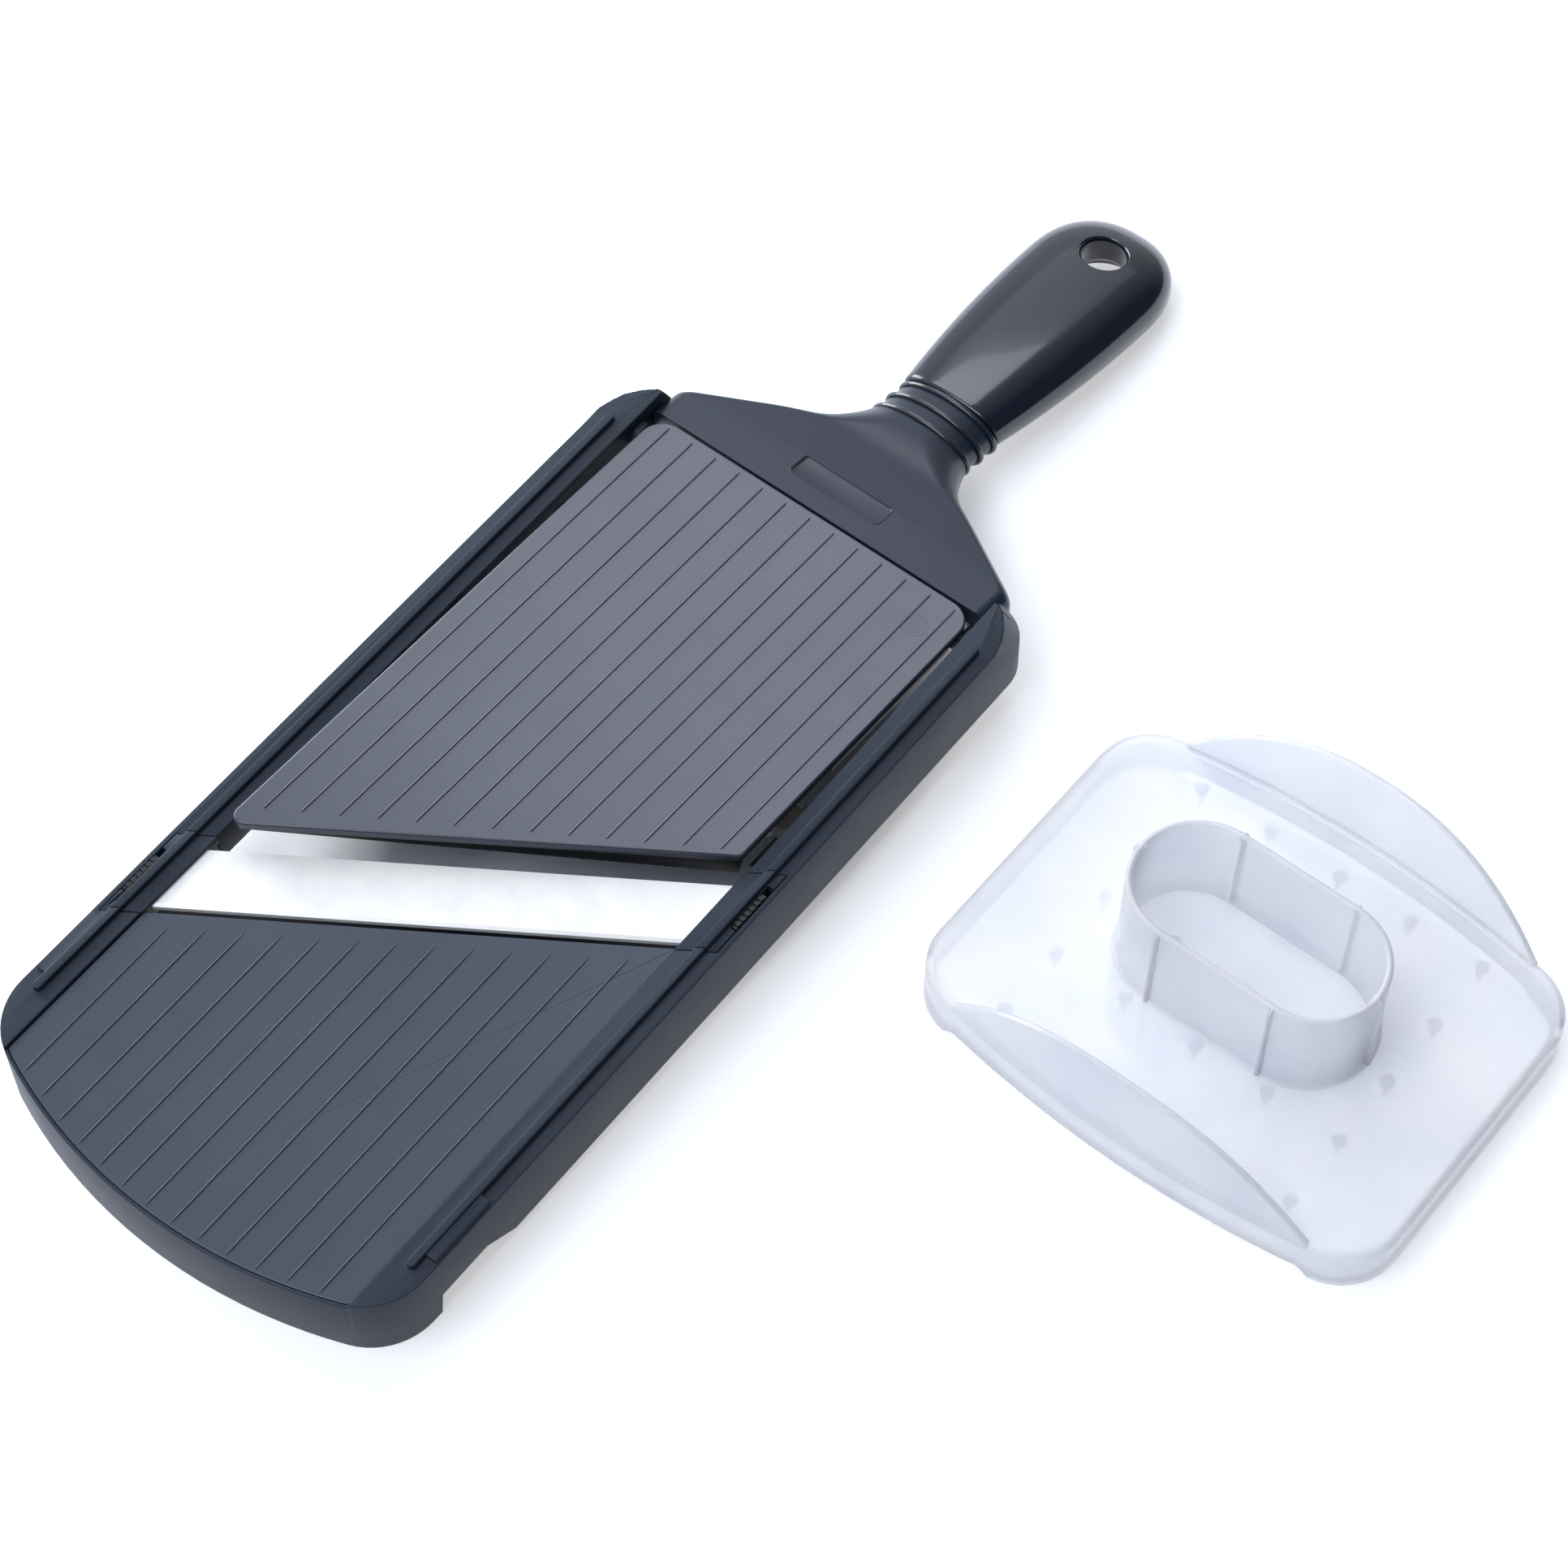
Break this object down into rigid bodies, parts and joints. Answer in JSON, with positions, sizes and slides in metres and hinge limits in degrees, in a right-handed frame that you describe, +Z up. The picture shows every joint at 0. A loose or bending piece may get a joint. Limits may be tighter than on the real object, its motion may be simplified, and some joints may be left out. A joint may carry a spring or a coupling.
{
  "type": "mandoline slicer",
  "caption": "Hand-held mandoline slicer with a skewed ceramic blade, hinged feed plate set by a cam shaft, bowl notches and a drooping handle, with its separate hand guard.",
  "frame": {"origin": "on the table, under the middle of the front wall, half way through its thickness", "axes": "+X to the user's right across the deck, +Y from the front foot towards the handle, +Z up from the table"},
  "size_m": [0.3014, 0.4101, 0.044],
  "materials": {
    "deck": "satin moulded slate-grey polymer",
    "landing": "fine satin slate-grey polymer",
    "feed": "semi-gloss slate-grey polymer",
    "handle": "glossy slate-grey polymer",
    "trim": "dark satin polymer",
    "blade": "polished white zirconia",
    "steel": "bright stainless steel",
    "cam": "natural acetal",
    "guard": "frosted translucent polypropylene"
  },
  "bodies": {
    "slicer_body": {"body_frame": "deck", "landing_plate": "landing", "handle_yoke": "deck", "handle_grip": "handle", "neck_rings": "trim", "yoke_screws": "steel", "grip_screw": "steel", "blade_carrier": "deck", "ceramic_blade": "blade", "blade_clamps": "trim", "clamp_screws": "steel", "hinge_pins": "steel", "plate_springs": "steel", "bearing_caps": "deck", "cap_screws": "steel", "click_spring": "steel"},
    "feed_plate_body": {"feed_plate": "feed", "plate_edge_strip": "trim"},
    "thickness_shaft": {"cam_shaft": "steel", "left_cam": "cam", "right_cam": "cam", "click_wheel": "cam", "thumb_barrel": "trim", "barrel_screw": "steel"},
    "left_latch_slider": {"left_latch": "trim"},
    "right_latch_slider": {"right_latch": "trim"},
    "loose_guard": {"hand_guard": "guard"}
  },
  "joints": [
    {"name": "thickness_turn", "type": "hinge", "parent": "slicer_body", "child": "thickness_shaft", "pos_m": [0, 0.18332, 0.01862], "axis": [1, 0, 0], "range_deg": [0, 270]},
    {"name": "plate_tilt", "type": "hinge", "parent": "slicer_body", "child": "feed_plate_body", "pos_m": [0, 0.25151, 0.0266], "axis": [1, 0, 0], "range_deg": [0, 4.58]},
    {"name": "left_latch_slide", "type": "slide", "parent": "slicer_body", "child": "left_latch_slider", "axis": [0, 0.9988, 0.048], "range_m": [0, 0.0025]},
    {"name": "right_latch_slide", "type": "slide", "parent": "slicer_body", "child": "right_latch_slider", "axis": [0, 0.9988, 0.048], "range_m": [0, 0.0025]},
    {"name": "guard_lift", "type": "slide", "parent": "slicer_body", "child": "loose_guard", "axis": [0, 0, 1], "range_m": [0, 0.08]}
  ],
  "couplings": [
    {"joint": "plate_tilt", "follows": "thickness_turn", "ratio": 0.016962}
  ]
}
